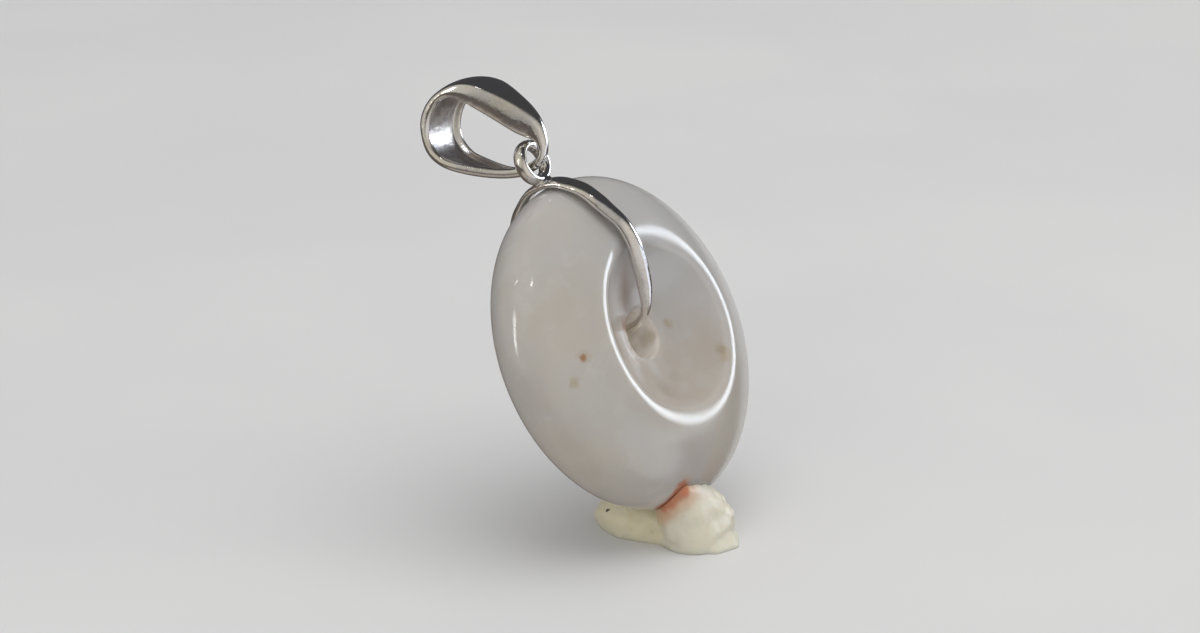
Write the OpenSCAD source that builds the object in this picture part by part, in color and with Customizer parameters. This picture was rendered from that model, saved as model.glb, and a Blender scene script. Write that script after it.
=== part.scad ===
// Jadeite donut pendant standing in a lump of putty.
// Millimetres, +Z up. The origin is the middle of the putty's flat underside.
// The pendant's front looks toward -Y and leans back; +X is its left-hand side
// as seen from behind, so the wire ring at its top sits slightly toward -X.

/* [Jade disc] */
// Diameter of the stone
disc_d = 24; // [22:0.5:26]
// Thickness of the full dome at the middle, if it had no dish
dome_t = 10.46; // [10:0.02:11]
// Radius at which the dome turns into the ridge ring, on each face
ridge_r = 7.08; // [6.8:0.02:7.3]
// Rounding radius of the ridge
ridge_round = 0.8; // [0.4:0.05:1.0]
// Radius of the drilled hole
hole_r = 1.7; // [1.5:0.05:1.9]
// Height of the hole's rim above the disc's middle plane
hole_rim_z = 2.1; // [1.6:0.1:2.6]
// How far the dish sags below a straight cone
dish_sag = 0.28; // [0:0.02:0.4]

/* [Mount strap] */
// Width of the strap at the top of the disc
strap_w_top = 1.45; // [1.35:0.05:1.7]
// Width of the strap where it enters the hole
strap_w_tip = 0.75; // [0.7:0.05:1.0]
// Turn of the strap about the disc's axis, toward -X
strap_turn = 7.9; // [0:0.1:12]

/* [Soldered ring] */
// Outer diameter of the wire ring
ring_od = 3.25; // [3.2:0.05:3.3]
// Thickness of its wire, seen from the front
ring_wire = 0.7; // [0.65:0.05:0.75]
// Depth of the ring, front to back
ring_depth = 1.0; // [0.8:0.05:1.1]
// Distance from the disc's middle to the ring's middle
ring_at = 14.08; // [14.04:0.02:14.12]
// How far the ring sits toward the front of the strap
ring_front = 0.15; // [0.05:0.05:0.25]

/* [Bail] */
// Overall length of the bail, foot to top bend
bail_len = 9.75; // [9.6:0.05:9.85]
// Width of the band at its top bend
bail_w = 4.4; // [4.0:0.1:4.8]
// Width of the band at its foot, inside the ring
bail_foot_w = 0.8; // [0.7:0.05:0.85]
// Rise of the fallen bail above level
bail_rise = 10; // [8:0.5:14]
// Roll of the fallen bail about its own length
bail_roll = 6.5; // [4:0.5:8]
// How far the bail sits off the middle of the ring's wire
bail_shift = 0.18; // [0.1:0.02:0.22]

/* [Pose on the putty] */
// Backward lean of the stone
lean = 27.75; // [24:0.25:30]
// Height of the stone's middle above the underside of the putty
stone_z = 13.2; // [13.1:0.05:13.4]
// Distance of the stone's middle behind the putty's middle
stone_y = 3; // [2.8:0.05:3.2]
// Gap between the putty and the stone
seat_gap = 0.04; // [0.03:0.01:0.08]

/* [Hidden] */
eps = 0.01;
disc_r = disc_d / 2;
dome_h = dome_t / 2;

// The dome's section is a superellipse a little fuller than an ellipse
dome_n = 2.15;
function dome_z(r) = dome_h * pow(max(0, 1 - pow(r / disc_r, dome_n)), 1 / dome_n);
function dome_pt(a, grow = 0) = [(disc_r + grow) * pow(max(0, cos(a)), 2 / dome_n),
                                 (dome_h + grow) * pow(max(0, sin(a)), 2 / dome_n)];
ridge_z = dome_z(ridge_r);

// ---------- poses ----------
// From the stone's own frame (z = front, y = up) to the standing pose
module stand_up() {
    translate([0, stone_y, stone_z]) rotate([90 - lean, 0, 0]) children();
}
// As stand_up, with the strap's plane turned toward -X
module strap_frame() {
    stand_up() rotate([0, 0, strap_turn]) children();
}

// ---------- stone ----------
// Half section of one face, from the girdle over the ridge into the hole
dome_steps = 36;
dish_steps = 14;
ridge_steps = 5;
ridge_a = acos(pow(ridge_r / disc_r, dome_n / 2));
function dome_pts() = [for (i = [0 : dome_steps]) dome_pt(ridge_a * i / dome_steps)];
// Ridge: an arc from the dome's slope to the dish's slope
ridge_from = atan2(pow(ridge_z, dome_n - 1) / pow(dome_h, dome_n),
                   pow(ridge_r, dome_n - 1) / pow(disc_r, dome_n));
ridge_to = 122;
ridge_c = [ridge_r, ridge_z] - ridge_round * [cos(ridge_from), sin(ridge_from)];
function ridge_pts() = [for (i = [1 : ridge_steps])
    let (a = ridge_from + (ridge_to - ridge_from) * i / ridge_steps)
    ridge_c + ridge_round * [cos(a), sin(a)]];
dish_start = ridge_c + ridge_round * [cos(ridge_to), sin(ridge_to)];
function dish_pts() = [for (i = [1 : dish_steps])
    let (t = i / dish_steps,
         r = dish_start[0] + (hole_r + 0.18 - dish_start[0]) * t,
         z = dish_start[1] + (hole_rim_z - dish_start[1]) * t
             - dish_sag * sin(180 * pow(t, 0.8)))
    [r, z]];
function rim_pts() = [for (i = [1 : 4])
    let (a = 90 + 90 * i / 4)
    [hole_r + 0.18 + 0.18 * cos(a), hole_rim_z - 0.18 + 0.18 * sin(a)]];
function face_pts() = concat(dome_pts(), ridge_pts(), dish_pts(), rim_pts());
function flip(p) = [for (i = [len(p) - 1 : -1 : 0]) [p[i][0], -p[i][1]]];

module jade_disc() {
    color([0.74, 0.72, 0.68])
    stand_up()
    rotate_extrude($fn = 120)
        polygon(concat(face_pts(), flip(face_pts())));
}

// ---------- strap with its soldered ring ----------
// Side view of half of the strap, one row for each station on its way from
// the top of the disc to the middle of the hole
// [outer radius, outer z, inner radius, inner z]
STRAP = [
    [12.62, 0.00, 12.12, 0.00],
    [12.58, 0.85, 12.06, 0.75],
    [12.35, 1.60, 11.85, 1.35],
    [11.85, 2.50, 11.35, 2.15],
    [11.35, 3.25, 10.85, 2.80],
    [10.60, 4.02, 10.10, 3.36],
    [ 9.90, 4.55,  9.30, 3.76],
    [ 9.00, 5.05,  8.60, 4.08],
    [ 8.20, 5.42,  7.90, 4.36],
    [ 7.55, 5.62,  7.35, 4.48],
    [ 6.80, 5.70,  6.70, 4.50],
    [ 6.20, 5.66,  6.20, 4.48],
    [ 5.50, 5.50,  5.60, 4.40],
    [ 4.80, 5.30,  5.00, 4.27],
    [ 4.10, 5.00,  4.40, 4.10],
    [ 3.40, 4.68,  3.80, 3.90],
    [ 2.80, 4.36,  3.25, 3.62],
    [ 2.20, 3.98,  2.65, 3.30],
    [ 1.55, 3.50,  2.05, 2.96],
    [ 1.05, 2.95,  1.55, 2.60],
    [ 0.70, 2.30,  1.22, 2.05],
    [ 0.48, 1.40,  1.05, 1.35],
    [ 0.42, 0.00,  1.00, 0.00]
];
strap_n = len(STRAP);
function strap_front() = concat(
    [for (s = STRAP) [s[0], s[1]]],
    [for (i = [strap_n - 1 : -1 : 0]) [STRAP[i][2], STRAP[i][3]]]);
// Front view: half width over the radius
function strap_half(r) = strap_w_tip / 2
    + (strap_w_top - strap_w_tip) / 2 * pow(max(0, min(1, (r - 0.8) / 11)), 0.8);

module strap_band() {
    intersection() {
        // both halves of the side view, drawn wide
        rotate([0, -90, 0]) rotate([0, 0, 90]) translate([0, 0, -strap_w_top])
            linear_extrude(height = 2 * strap_w_top) union() {
                polygon([for (p = strap_front()) [p[0], -p[1]]]);
                polygon([for (p = strap_front()) [p[0], p[1]]]);
            }
        // tapering front view
        translate([0, 0, -10]) linear_extrude(height = 20)
            polygon(concat(
                [for (i = [0 : 13]) [strap_half(i), i]],
                [for (i = [13 : -1 : 0]) [-strap_half(i), i]]));
    }
}

module soldered_ring() {
    translate([0, ring_at, ring_front])
        rotate_extrude($fn = 64)
            translate([(ring_od - ring_wire) / 2, 0])
                // a flattened wire: two half rounds with a flat between them
                polygon(concat(
                    [for (i = [0 : 12]) [ring_wire / 2 * cos(i * 15),
                        (ring_depth - ring_wire) / 2 + ring_wire / 2 * sin(i * 15)]],
                    [for (i = [12 : 24]) [ring_wire / 2 * cos(i * 15),
                        (ring_wire - ring_depth) / 2 + ring_wire / 2 * sin(i * 15)]]));
}

module mount_strap() {
    color([0.8, 0.8, 0.81])
    strap_frame() {
        strap_band();
        soldered_ring();
    }
}

// ---------- bail ----------
// The swing axis runs through the top of the ring's wire
axis_at = ring_at + (ring_od - ring_wire) / 2;
// Side view of the loop, from the foot to the top bend, y along the bail and
// z square to it, measured from the swing axis
// [outer y, outer z, inner y, inner z]
BAIL_FRONT = [
    [-1.82, 0.00, -1.24,  0.00],
    [-1.72, 0.64, -1.03,  0.38],
    [-1.48, 1.20, -0.80,  0.60],
    [-1.02, 1.90, -0.38,  0.68],
    [-0.28, 2.50,  0.10,  0.72],
    [ 0.50, 2.88,  0.60,  0.80],
    [ 1.40, 3.16,  1.40,  1.03],
    [ 2.30, 3.38,  2.30,  1.30],
    [ 3.20, 3.54,  3.20,  1.57],
    [ 4.10, 3.60,  4.10,  1.80],
    [ 5.00, 3.45,  5.00,  1.93],
    [ 5.95, 3.02,  5.80,  1.82],
    [ 6.85, 2.30,  6.38,  1.38],
    [ 7.56, 1.35,  6.70,  0.65],
    [ 7.93, 0.15,  6.82, -0.05]
];
BAIL_BACK = [
    [-1.66, -0.78, -1.14, -0.47],
    [-1.14, -1.42, -0.78, -0.94],
    [-0.55, -1.98, -0.25, -1.36],
    [ 0.40, -2.48,  0.50, -1.78],
    [ 1.40, -2.79,  1.40, -2.06],
    [ 2.30, -2.97,  2.30, -2.22],
    [ 3.20, -3.08,  3.20, -2.33],
    [ 4.10, -3.14,  4.10, -2.40],
    [ 5.00, -3.13,  5.00, -2.40],
    [ 5.95, -2.93,  5.65, -2.20],
    [ 6.75, -2.50,  6.20, -1.85],
    [ 7.35, -1.80,  6.58, -1.35],
    [ 7.82, -0.90,  6.78, -0.75]
];
function rev(p) = [for (i = [len(p) - 1 : -1 : 0]) p[i]];
bail_loop = concat(BAIL_FRONT, rev(BAIL_BACK));
// Plan view: half width over the distance y along the bail. The front leg is
// wide close to the ring, the back leg stays narrow until it is through it.
// [y, half width of the front leg, half width of the back leg, both as a
// share of the way from the foot's width to the bend's]
BAIL_PLAN = [
    [-2.40, 0.00, 0.00],
    [-1.70, 0.00, 0.00],
    [-1.20, 0.02, 0.00],
    [-0.75, 0.04, 0.00],
    [-0.30, 0.08, 0.08],
    [ 0.50, 0.20, 0.20],
    [ 1.40, 0.35, 0.35],
    [ 2.30, 0.51, 0.51],
    [ 3.20, 0.69, 0.69],
    [ 4.10, 0.87, 0.87],
    [ 5.00, 0.97, 0.97],
    [ 5.80, 1.00, 1.00],
    [ 7.20, 0.98, 0.98],
    [ 7.55, 0.90, 0.90],
    [ 7.77, 0.74, 0.74],
    [ 7.88, 0.46, 0.46],
    [ 7.98, 0.20, 0.20]
];
module bail_plan(col) {
    w = [for (p = BAIL_PLAN) [(bail_foot_w + (bail_w - bail_foot_w) * p[col]) / 2, p[0]]];
    polygon(concat(w, rev([for (p = w) [-p[0], p[1]]])));
}

module bail() {
    k = bail_len / 9.75;
    color([0.8, 0.8, 0.81])
    strap_frame()
    translate([0, axis_at, ring_front])
    rotate([0, 0, -strap_turn]) rotate([lean - 90 + bail_rise, 0, 0])
    rotate([0, bail_roll, 0])
    translate([bail_shift, 0, 0])
    scale(k)
    intersection() {
        rotate([0, -90, 0]) rotate([0, 0, 90]) translate([0, 0, -bail_w])
            linear_extrude(height = 2 * bail_w) difference() {
                polygon([for (s = bail_loop) [s[0], -s[1]]]);
                polygon([for (s = bail_loop) [s[2], -s[3]]]);
            }
        union() {
            translate([0, 0, -eps]) linear_extrude(height = 6) bail_plan(1);
            translate([0, 0, -6]) linear_extrude(height = 6) bail_plan(2);
        }
        // end view: the front leg is domed across its width
        rotate([-90, 0, 0]) translate([0, 0, -4]) linear_extrude(height = 14)
            polygon(concat([[bail_w, 5], [-bail_w, 5]],
                [for (i = [-6 : 6]) let (x = i * bail_w / 6)
                    [x, 0.075 * x * x - 3.62]]));
    }
}

// ---------- putty ----------
// Each lobe is the skin round a few balls, cut flat underneath and pressed
// into the shape of the stone: [x, y, z, radius]
LOBE_FRONT = [
    [-1.40, -3.85, 0.60, 2.05],
    [ 0.42, -3.90, 1.15, 2.00],
    [ 0.55, -3.50, 2.20, 1.35],
    [-0.90, -2.60, 0.60, 2.00],
    [ 2.00, -1.00, 1.00, 1.90],
    [-0.20, -3.90, 3.55, 0.64],
    [-2.70, -2.90, 3.80, 1.12],
    [-2.70, -3.95, 4.35, 0.58]
];
LOBE_TOE = [
    [ 1.10, -5.50, 0.00, 0.54],
    [-0.10, -6.15, 0.00, 0.62],
    [-1.65, -5.75, 0.00, 0.60],
    [ 0.30, -4.20, 0.55, 1.30]
];
LOBE_REAR = [
    [-1.50,  0.90, 0.60, 1.95],
    [-1.40,  2.50, 0.50, 1.30],
    [-1.05,  3.75, 0.50, 0.75],
    [-1.10, -1.60, 0.80, 1.90],
    [ 2.20,  3.60, 1.20, 1.60],
    [ 2.20,  0.00, 1.20, 2.00]
];
module lobe(rows) {
    hull() for (b = rows) translate([b[0], b[1], b[2]]) sphere(r = b[3], $fn = 32);
}
module putty_foot() {
    color([0.87, 0.84, 0.74])
    difference() {
        union() {
            lobe(LOBE_FRONT);
            lobe(LOBE_TOE);
            lobe(LOBE_REAR);
        }
        translate([-20, -20, -10]) cube([40, 40, 10]);
        stand_up() rotate_extrude($fn = 120)
            polygon(concat(
                [for (i = [24 : -1 : 1]) let (p = dome_pt(i * 90 / 24, seat_gap)) [p[0], -p[1]]],
                [for (i = [0 : 24]) dome_pt(i * 90 / 24, seat_gap)]));
    }
}

jade_disc();
mount_strap();
bail();
putty_foot();
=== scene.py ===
import math

import bmesh
import bpy
import numpy as np
from mathutils import Matrix, Vector, noise


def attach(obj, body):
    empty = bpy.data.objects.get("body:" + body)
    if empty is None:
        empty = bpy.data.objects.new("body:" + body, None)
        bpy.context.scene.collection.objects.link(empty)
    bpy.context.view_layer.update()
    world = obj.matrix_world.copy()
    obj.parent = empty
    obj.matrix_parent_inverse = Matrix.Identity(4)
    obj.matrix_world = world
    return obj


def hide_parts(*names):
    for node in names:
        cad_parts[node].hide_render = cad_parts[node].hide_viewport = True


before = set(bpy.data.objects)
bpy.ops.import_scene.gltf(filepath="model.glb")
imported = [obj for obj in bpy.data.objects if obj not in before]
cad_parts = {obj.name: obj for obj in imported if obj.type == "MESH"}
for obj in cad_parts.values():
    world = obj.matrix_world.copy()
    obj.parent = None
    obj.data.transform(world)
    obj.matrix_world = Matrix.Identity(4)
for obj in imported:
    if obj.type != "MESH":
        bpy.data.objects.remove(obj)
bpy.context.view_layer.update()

MM = 0.001

# ---------------------------------------------------------------- the frames
LEAN, TURN, ROLL, RISE = map(math.radians, (27.75, 7.9, 6.5, 10.0))
C = np.array([0.0, 3.0, 13.2])                        # the stone's middle, mm
A = np.array([0, -math.cos(LEAN), math.sin(LEAN)])    # out of the stone's front
V = np.array([0, math.sin(LEAN), math.cos(LEAN)])     # up the stone
X = np.array([1.0, 0, 0])
U = -math.sin(TURN) * X + math.cos(TURN) * V          # up the strap
W = math.cos(TURN) * X + math.sin(TURN) * V           # across the strap
RING_AT, RING_OD, RING_WIRE, RING_DEPTH, RING_FRONT = 14.08, 3.25, 0.7, 1.0, 0.15
PIN = C + (RING_AT + (RING_OD - RING_WIRE) / 2) * U + RING_FRONT * A
BB = np.array([math.cos(ROLL), math.sin(ROLL) * math.sin(RISE), -math.sin(ROLL) * math.cos(RISE)])
BL = np.array([0, math.cos(RISE), math.sin(RISE)])    # along the bail
BN = np.cross(BB, BL)                                 # square to the bail
BAIL_SHIFT = 0.18


# ---------------------------------------------------------------- mesh helpers
def periodic(rows, n, smooth=0.0):
    """n even samples of the closed curve through rows; smooth is in samples."""
    P = np.asarray(rows, float)
    d = np.linalg.norm(np.roll(P[:, :4], -1, 0) - P[:, :4], axis=1)
    t = np.concatenate([[0], np.cumsum(d)])
    m, h = len(P), d
    M = np.zeros((m, m))
    R = np.zeros_like(P)
    for i in range(m):                                # periodic cubic spline
        a, b = (i - 1) % m, (i + 1) % m
        M[i, a] += h[a]
        M[i, i] += 2 * (h[a] + h[i])
        M[i, b] += h[i]
        R[i] = 6 * ((P[b] - P[i]) / h[i] - (P[i] - P[a]) / h[a])
    K = np.linalg.solve(M, R)
    out = []
    for s in np.linspace(0, t[-1], n, endpoint=False):
        i = min(int(np.searchsorted(t, s, side="right")) - 1, m - 1)
        b = (i + 1) % m
        u, v = t[i + 1] - s, s - t[i]
        out.append(K[i] * u ** 3 / (6 * h[i]) + K[b] * v ** 3 / (6 * h[i])
                   + (P[i] / h[i] - K[i] * h[i] / 6) * u + (P[b] / h[i] - K[b] * h[i] / 6) * v)
    out = np.array(out)
    if smooth:
        k = int(smooth * 4)
        g = np.exp(-0.5 * (np.arange(-k, k + 1) / smooth) ** 2)
        g /= g.sum()
        out = sum(w * np.roll(out, j, 0) for w, j in zip(g, range(-k, k + 1)))
    return out


def grid_mesh(name, P, close_u=True, close_v=True):
    """A mesh over the grid of points P[u, v], mm in the row frame."""
    nu, nv = P.shape[:2]
    faces = []
    for i in range(nu if close_u else nu - 1):
        for j in range(nv if close_v else nv - 1):
            a, b = (i + 1) % nu, (j + 1) % nv
            faces.append((i * nv + j, a * nv + j, a * nv + b, i * nv + b))
    return solid(name, P.reshape(-1, 3), faces)


def solid(name, verts, faces):
    me = bpy.data.meshes.new(name)
    me.from_pydata([tuple(v * MM) for v in np.asarray(verts, float)], [], faces)
    bm = bmesh.new()
    bm.from_mesh(me)
    bmesh.ops.recalc_face_normals(bm, faces=bm.faces)
    bm.to_mesh(me)
    bm.free()
    me.polygons.foreach_set("use_smooth", [True] * len(me.polygons))
    ob = bpy.data.objects.new(name, me)
    bpy.context.scene.collection.objects.link(ob)
    return ob


def apply(ob):
    """Bakes ob's modifiers into its mesh."""
    dg = bpy.context.evaluated_depsgraph_get()
    me = bpy.data.meshes.new_from_object(ob.evaluated_get(dg))
    ob.modifiers.clear()
    old, ob.data = ob.data, me
    bpy.data.meshes.remove(old)
    me.polygons.foreach_set("use_smooth", [True] * len(me.polygons))
    return ob


def boolean(ob, other, op):
    m = ob.modifiers.new("cut", "BOOLEAN")
    m.operation, m.object, m.solver = op, other, "EXACT"
    apply(ob)
    bpy.data.objects.remove(other)
    return ob


def signed_pow(x, p):
    return np.sign(x) * np.abs(x) ** p


# ---------------------------------------------------------------- the stone
R, H, N_DOME = 12.0, 5.23, 2.15
CREST_R = 6.88
HOLE_R, RIM_Z, RIM, SAG = 1.7, 2.1, 0.6, 0.28


def face_profile(ridge_round):
    """Half section of one face: girdle, dome, ridge, dish, rim of the hole."""
    ridge_r = 7.0
    for _ in range(8):
        ridge_z = H * (1 - (ridge_r / R) ** N_DOME) ** (1 / N_DOME)
        b0 = math.atan2(ridge_z ** (N_DOME - 1) / H ** N_DOME, ridge_r ** (N_DOME - 1) / R ** N_DOME)
        ridge_r = CREST_R + ridge_round * math.cos(b0)
    ridge_z = H * (1 - (ridge_r / R) ** N_DOME) ** (1 / N_DOME)
    a = np.linspace(0, math.acos((ridge_r / R) ** (N_DOME / 2)), 68)
    dome = np.stack([R * np.cos(a) ** (2 / N_DOME), H * np.sin(a) ** (2 / N_DOME)], 1)
    c = np.array([ridge_r, ridge_z]) - ridge_round * np.array([math.cos(b0), math.sin(b0)])
    b = np.linspace(b0, math.radians(122), 21)[1:]
    ridge = c + ridge_round * np.stack([np.cos(b), np.sin(b)], 1)
    t = np.linspace(0, 1, 38)[1:]
    r0, z0 = ridge[-1]
    q = np.radians(np.linspace(104, 180, 12))
    rim = np.stack([HOLE_R + RIM + RIM * np.cos(q), RIM_Z - RIM + RIM * np.sin(q)], 1)
    r = r0 + (rim[0, 0] - r0) * t
    z = z0 + (rim[0, 1] - z0) * t - SAG * np.sin(np.pi * t ** 0.8)
    dish = np.stack([r, z], 1)
    return np.vstack([dome, ridge, dish, rim[1:]])


def turn_from(th, at, width):
    d = (math.degrees(th) - at + 180) % 360 - 180
    return math.exp(-(d / width) ** 2)


def make_stone():
    nu = 288
    g = None
    for i in range(nu):
        th = 2 * math.pi * i / nu
        # the ridge is softer at the bottom and at the upper right
        p = face_profile(1.15 + 0.75 * turn_from(th, 258, 34) + 0.75 * turn_from(th, 62, 28))
        wall = np.stack([np.full(9, HOLE_R), np.linspace(p[-1, 1], -p[-1, 1], 11)[1:-1]], 1)
        prof = np.vstack([p, wall, (p[::-1] * [1, -1])[:-1]])
        if g is None:
            g = np.zeros((nu, len(prof), 3))
        d = math.cos(th) * X + math.sin(th) * V
        # a hand-cut stone is never quite round: the ridge and the dish wander a little
        wob = 0.030 * math.sin(2 * th + 0.7) + 0.018 * math.sin(3 * th + 2.1) + 0.010 * math.sin(5 * th)
        for j, (r, z) in enumerate(prof):
            k = math.exp(-((r - CREST_R) / 2.2) ** 2)
            g[i, j] = C + (r + wob * k) * d + (z - 0.6 * wob * k * np.sign(z)) * A
    return grid_mesh("jade_stone", g)


# ---------------------------------------------------------------- strap and ring
STRAP = [
    [12.62, 0.00, 12.12, 0.00], [12.58, 0.85, 12.06, 0.75], [12.35, 1.60, 11.85, 1.35],
    [11.85, 2.50, 11.35, 2.15], [11.35, 3.25, 10.85, 2.80], [10.60, 4.02, 10.10, 3.36],
    [9.90, 4.55, 9.30, 3.76], [9.00, 5.05, 8.60, 4.08], [8.20, 5.42, 7.90, 4.36],
    [7.55, 5.62, 7.35, 4.48], [6.80, 5.70, 6.70, 4.50], [6.20, 5.66, 6.20, 4.48],
    [5.50, 5.50, 5.60, 4.40], [4.80, 5.30, 5.00, 4.27], [4.10, 5.00, 4.40, 4.10],
    [3.40, 4.68, 3.80, 3.90], [2.80, 4.36, 3.25, 3.62], [2.20, 3.98, 2.65, 3.30],
    [1.55, 3.50, 2.05, 2.96], [1.05, 2.95, 1.55, 2.60], [0.70, 2.30, 1.22, 2.05],
    [0.48, 1.40, 1.05, 1.35], [0.42, 0.00, 1.00, 0.00],
]


def strap_half(r):
    return 0.375 + 0.35 * min(1.0, max(0.0, (r - 0.8) / 11)) ** 0.8


def make_strap():
    rows = STRAP + [[a, -b, c, -d] for a, b, c, d in STRAP[-2:0:-1]]
    S = periodic(rows, 420, smooth=2.0)
    n = 40
    ph = 2 * math.pi * (np.arange(n) + 0.5) / n
    g = np.zeros((len(S), n, 3))
    def rise(x, a, b):
        k = min(1.0, max(0.0, (x - a) / (b - a)))
        return k * k * (3 - 2 * k)

    for i, (ro, zo, ri, zi) in enumerate(S):
        rm = (ro + ri) / 2
        w = strap_half(rm)
        sway = 0.0
        if zo > 0.3:
            # as bent by hand: a little to the side over the dome, deeper over the dish
            sway = -0.30 * rise(rm, 2.5, 6.5) * (1 - rise(rm, 9.8, 12.2))
            drop = 0.09 * rise(rm, 7.6, 9.2) * (1 - rise(rm, 9.8, 12.0))
            zo -= 0.10 * rise(rm, 2.5, 5.5) * (1 - rise(rm, 8.4, 11.0)) + 0.05 * math.exp(-((rm - 6.9) / 0.7) ** 2)
            zi -= drop + 0.28 * rise(rm, 1.6, 3.6) * (1 - rise(rm, 4.6, 7.0))
            w += 0.05 * rise(rm, 1.2, 3.0) * (1 - rise(rm, 6.0, 7.5))
        o = np.array([ro, zo])
        q = np.array([ri, zi])
        mid, half = (o + q) / 2, (o - q) / 2
        thick = np.linalg.norm(half)
        out = half / thick
        # the band is bent a little to one side on its way down to the claws
        k = min(1.0, max(0.0, (11.8 - ro) / 3.6))
        twist = math.radians(32) * k * k * (3 - 2 * k) * (1 if zo > 0 else -1)
        # domed outside, flatter inside, rounded edges
        up = np.sin(ph) > 0
        b = w * signed_pow(np.cos(ph), np.where(up, 2 / 2.5, 2 / 3.2))
        t = thick * signed_pow(np.sin(ph), np.where(up, 2 / 2.3, 2 / 3.2))
        b, t = b * math.cos(twist) + t * math.sin(twist), t * math.cos(twist) - b * math.sin(twist)
        t = np.maximum(t, -thick - 0.02)
        for j in range(n):
            rz = mid + out * t[j]
            g[i, j] = C + rz[0] * U + rz[1] * A + (b[j] + sway) * W
    return grid_mesh("strap_band", g)


def make_ring():
    nu, nv = 128, 40
    g = np.zeros((nu, nv, 3))
    for i in range(nu):
        a = 2 * math.pi * i / nu
        d = math.cos(a) * W + math.sin(a) * U
        for j in range(nv):
            ph = 2 * math.pi * j / nv
            rr = (RING_OD - RING_WIRE) / 2 + RING_WIRE / 2 * signed_pow(math.cos(ph), 2 / 2.05)
            g[i, j] = C + RING_AT * U + (RING_FRONT + RING_DEPTH / 2 * signed_pow(math.sin(ph), 2 / 2.05)) * A + rr * d
    return grid_mesh("ring", g)


def make_solder():
    """The pad of solder under the ring: a skirt that flows from the strap up into the wire."""
    rows = [  # height along the strap's up direction, half width across, half depth
        [12.25, 0.62, 0.80], [12.42, 0.70, 0.84], [12.54, 0.74, 0.80], [12.64, 0.73, 0.70],
        [12.76, 0.68, 0.60], [12.90, 0.60, 0.53], [13.04, 0.50, 0.48], [13.16, 0.36, 0.44],
    ]
    n = 40
    v, f = [], []
    for k, (h, w, d) in enumerate(rows):
        for j in range(n):
            a = 2 * math.pi * j / n
            v.append(C + h * U + (RING_FRONT * 0.8 + d * math.sin(a)) * A + w * math.cos(a) * W)
    for k in range(len(rows) - 1):
        for j in range(n):
            f.append((k * n + j, k * n + (j + 1) % n, (k + 1) * n + (j + 1) % n, (k + 1) * n + j))
    f.append(tuple(range(n - 1, -1, -1)))
    f.append(tuple((len(rows) - 1) * n + j for j in range(n)))
    return solid("solder", v, f)


# ---------------------------------------------------------------- bail
# [outer y, outer z, inner y, inner z, half width, crown, corner radius]
BAIL = [
    [-1.82, 0.00, -1.24, 0.00, 0.40, 0.10, 0.27],
    [-1.72, 0.64, -1.03, 0.38, 0.42, 0.12, 0.29],
    [-1.48, 1.20, -0.80, 0.60, 0.47, 0.16, 0.30],
    [-1.02, 1.90, -0.38, 0.68, 0.54, 0.22, 0.30],
    [-0.28, 2.50, 0.10, 0.72, 0.70, 0.26, 0.28],
    [0.50, 2.88, 0.60, 0.80, 0.90, 0.30, 0.25],
    [1.40, 3.16, 1.40, 1.03, 1.15, 0.32, 0.22],
    [2.30, 3.38, 2.30, 1.30, 1.42, 0.34, 0.20],
    [3.20, 3.54, 3.20, 1.57, 1.72, 0.36, 0.18],
    [4.10, 3.60, 4.10, 1.80, 1.98, 0.38, 0.17],
    [5.00, 3.45, 5.00, 1.93, 2.14, 0.40, 0.16],
    [5.95, 3.02, 5.80, 1.82, 2.20, 0.42, 0.15],
    [6.85, 2.30, 6.38, 1.38, 2.20, 0.42, 0.15],
    [7.56, 1.35, 6.70, 0.65, 2.20, 0.42, 0.15],
    [7.93, 0.15, 6.82, -0.05, 2.20, 0.42, 0.15],
    [7.82, -0.90, 6.78, -0.75, 2.20, 0.38, 0.15],
    [7.35, -1.80, 6.58, -1.35, 2.20, 0.30, 0.15],
    [6.75, -2.50, 6.20, -1.85, 2.18, 0.20, 0.15],
    [5.95, -2.93, 5.65, -2.20, 2.16, 0.12, 0.15],
    [5.00, -3.13, 5.00, -2.40, 2.10, 0.08, 0.15],
    [4.10, -3.14, 4.10, -2.40, 1.95, 0.07, 0.15],
    [3.20, -3.08, 3.20, -2.33, 1.68, 0.06, 0.16],
    [2.30, -2.97, 2.30, -2.22, 1.38, 0.06, 0.17],
    [1.40, -2.79, 1.40, -2.06, 1.08, 0.06, 0.18],
    [0.40, -2.48, 0.50, -1.78, 0.76, 0.06, 0.20],
    [-0.55, -1.98, -0.25, -1.36, 0.50, 0.07, 0.24],
    [-1.14, -1.42, -0.78, -0.94, 0.40, 0.08, 0.24],
    [-1.66, -0.78, -1.14, -0.47, 0.40, 0.10, 0.26],
]


def bezier(p0, p1, p2, n):
    t = np.linspace(0, 1, n + 1)[1:, None]
    return [tuple(p) for p in (1 - t) ** 2 * np.array(p0) + 2 * t * (1 - t) * np.array(p1) + t ** 2 * np.array(p2)]


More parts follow.
